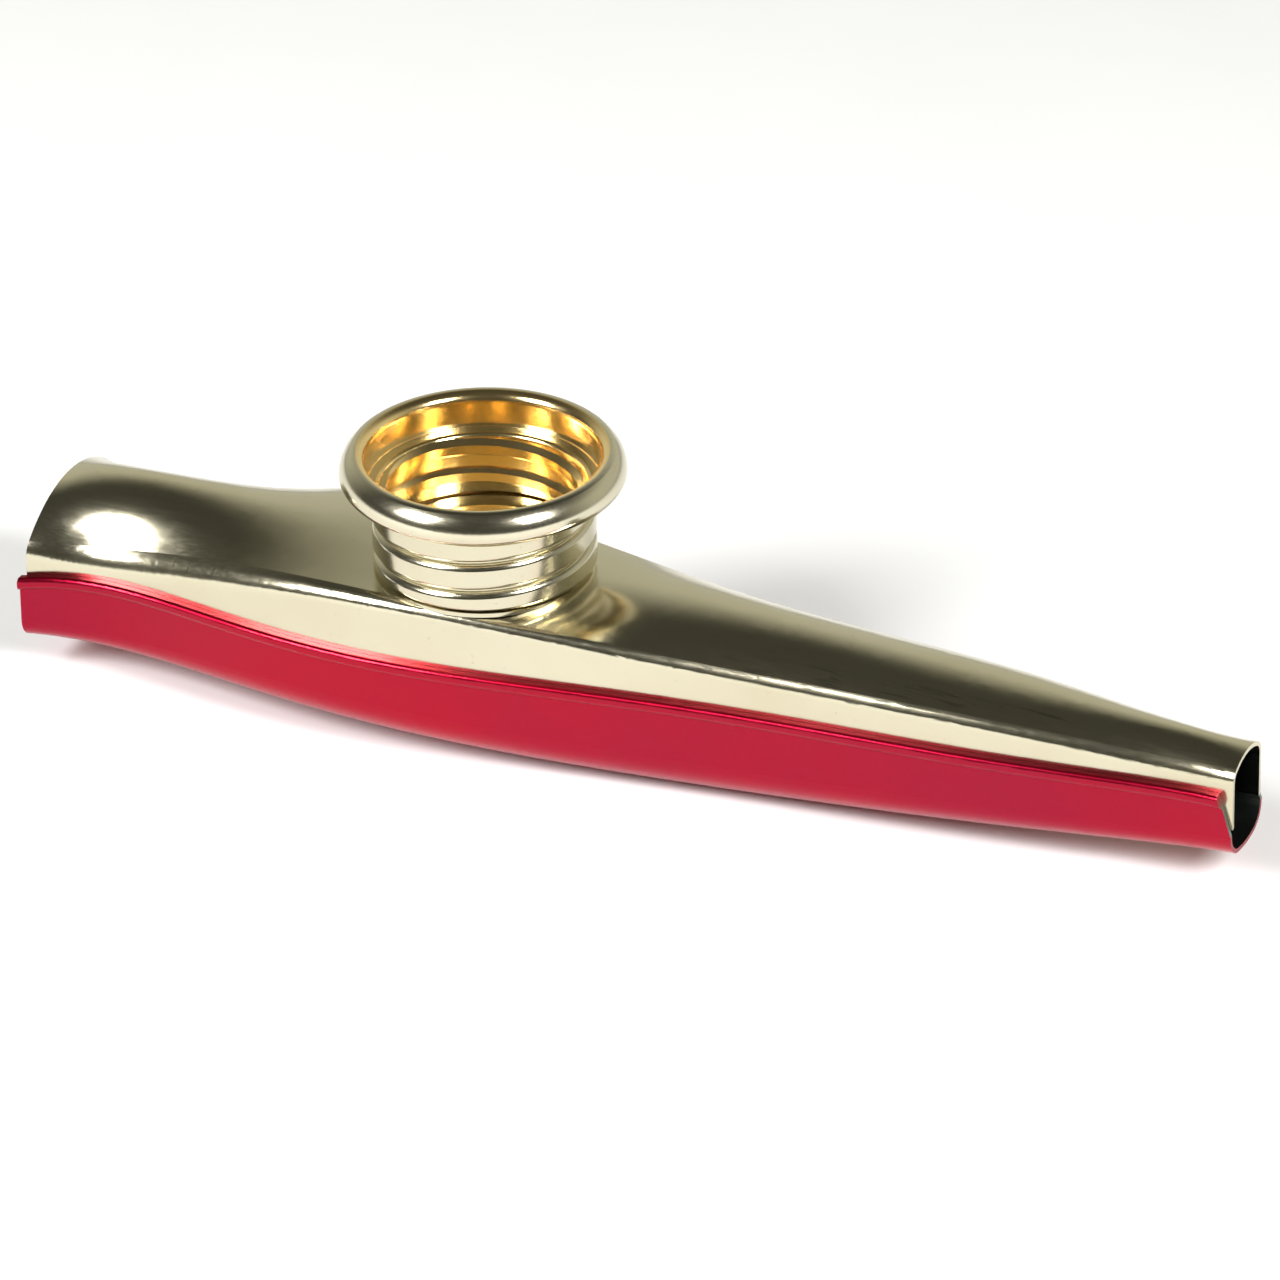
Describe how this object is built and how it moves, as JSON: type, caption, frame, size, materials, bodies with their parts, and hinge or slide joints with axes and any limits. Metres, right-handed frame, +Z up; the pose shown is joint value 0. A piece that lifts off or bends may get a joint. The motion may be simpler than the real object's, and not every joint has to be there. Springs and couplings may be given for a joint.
{
  "type": "kazoo",
  "caption": "Pressed-metal kazoo: two nested shells tapering to a small outlet, with a threaded turret, an open screw cap and a film resonator.",
  "frame": {"origin": "on the resting plane, midway along the body and on its centre plane", "axes": "+Z up along the turret axis, +X from the mouth end to the small outlet end, +Y across"},
  "size_m": [0.12, 0.0268, 0.0284],
  "materials": {
    "pale_gold": "polished, lightly brushed along the length",
    "rich_gold": "polished",
    "red_lacquer": "gloss lacquer",
    "film": "thin waxed film"
  },
  "bodies": {
    "shell": {"upper_shell": "pale_gold", "lower_shell": "red_lacquer", "turret": "pale_gold"},
    "resonator": {"lower_ring": "rich_gold", "membrane": "film", "upper_ring": "rich_gold"},
    "cap": {"screw_cap": "rich_gold"}
  },
  "joints": [
    {"name": "cap_rise", "type": "slide", "parent": "shell", "child": "resonator", "axis": [0, 0, 1], "range_m": [0, 0.0073]},
    {"name": "cap_turn", "type": "hinge", "parent": "resonator", "child": "cap", "pos_m": [-0.016, 0, 0.02], "axis": [0, 0, 1], "range_deg": [0, 900]}
  ],
  "couplings": [
    {"joint": "cap_rise", "follows": "cap_turn", "m_per_rad": 0.00046473}
  ]
}
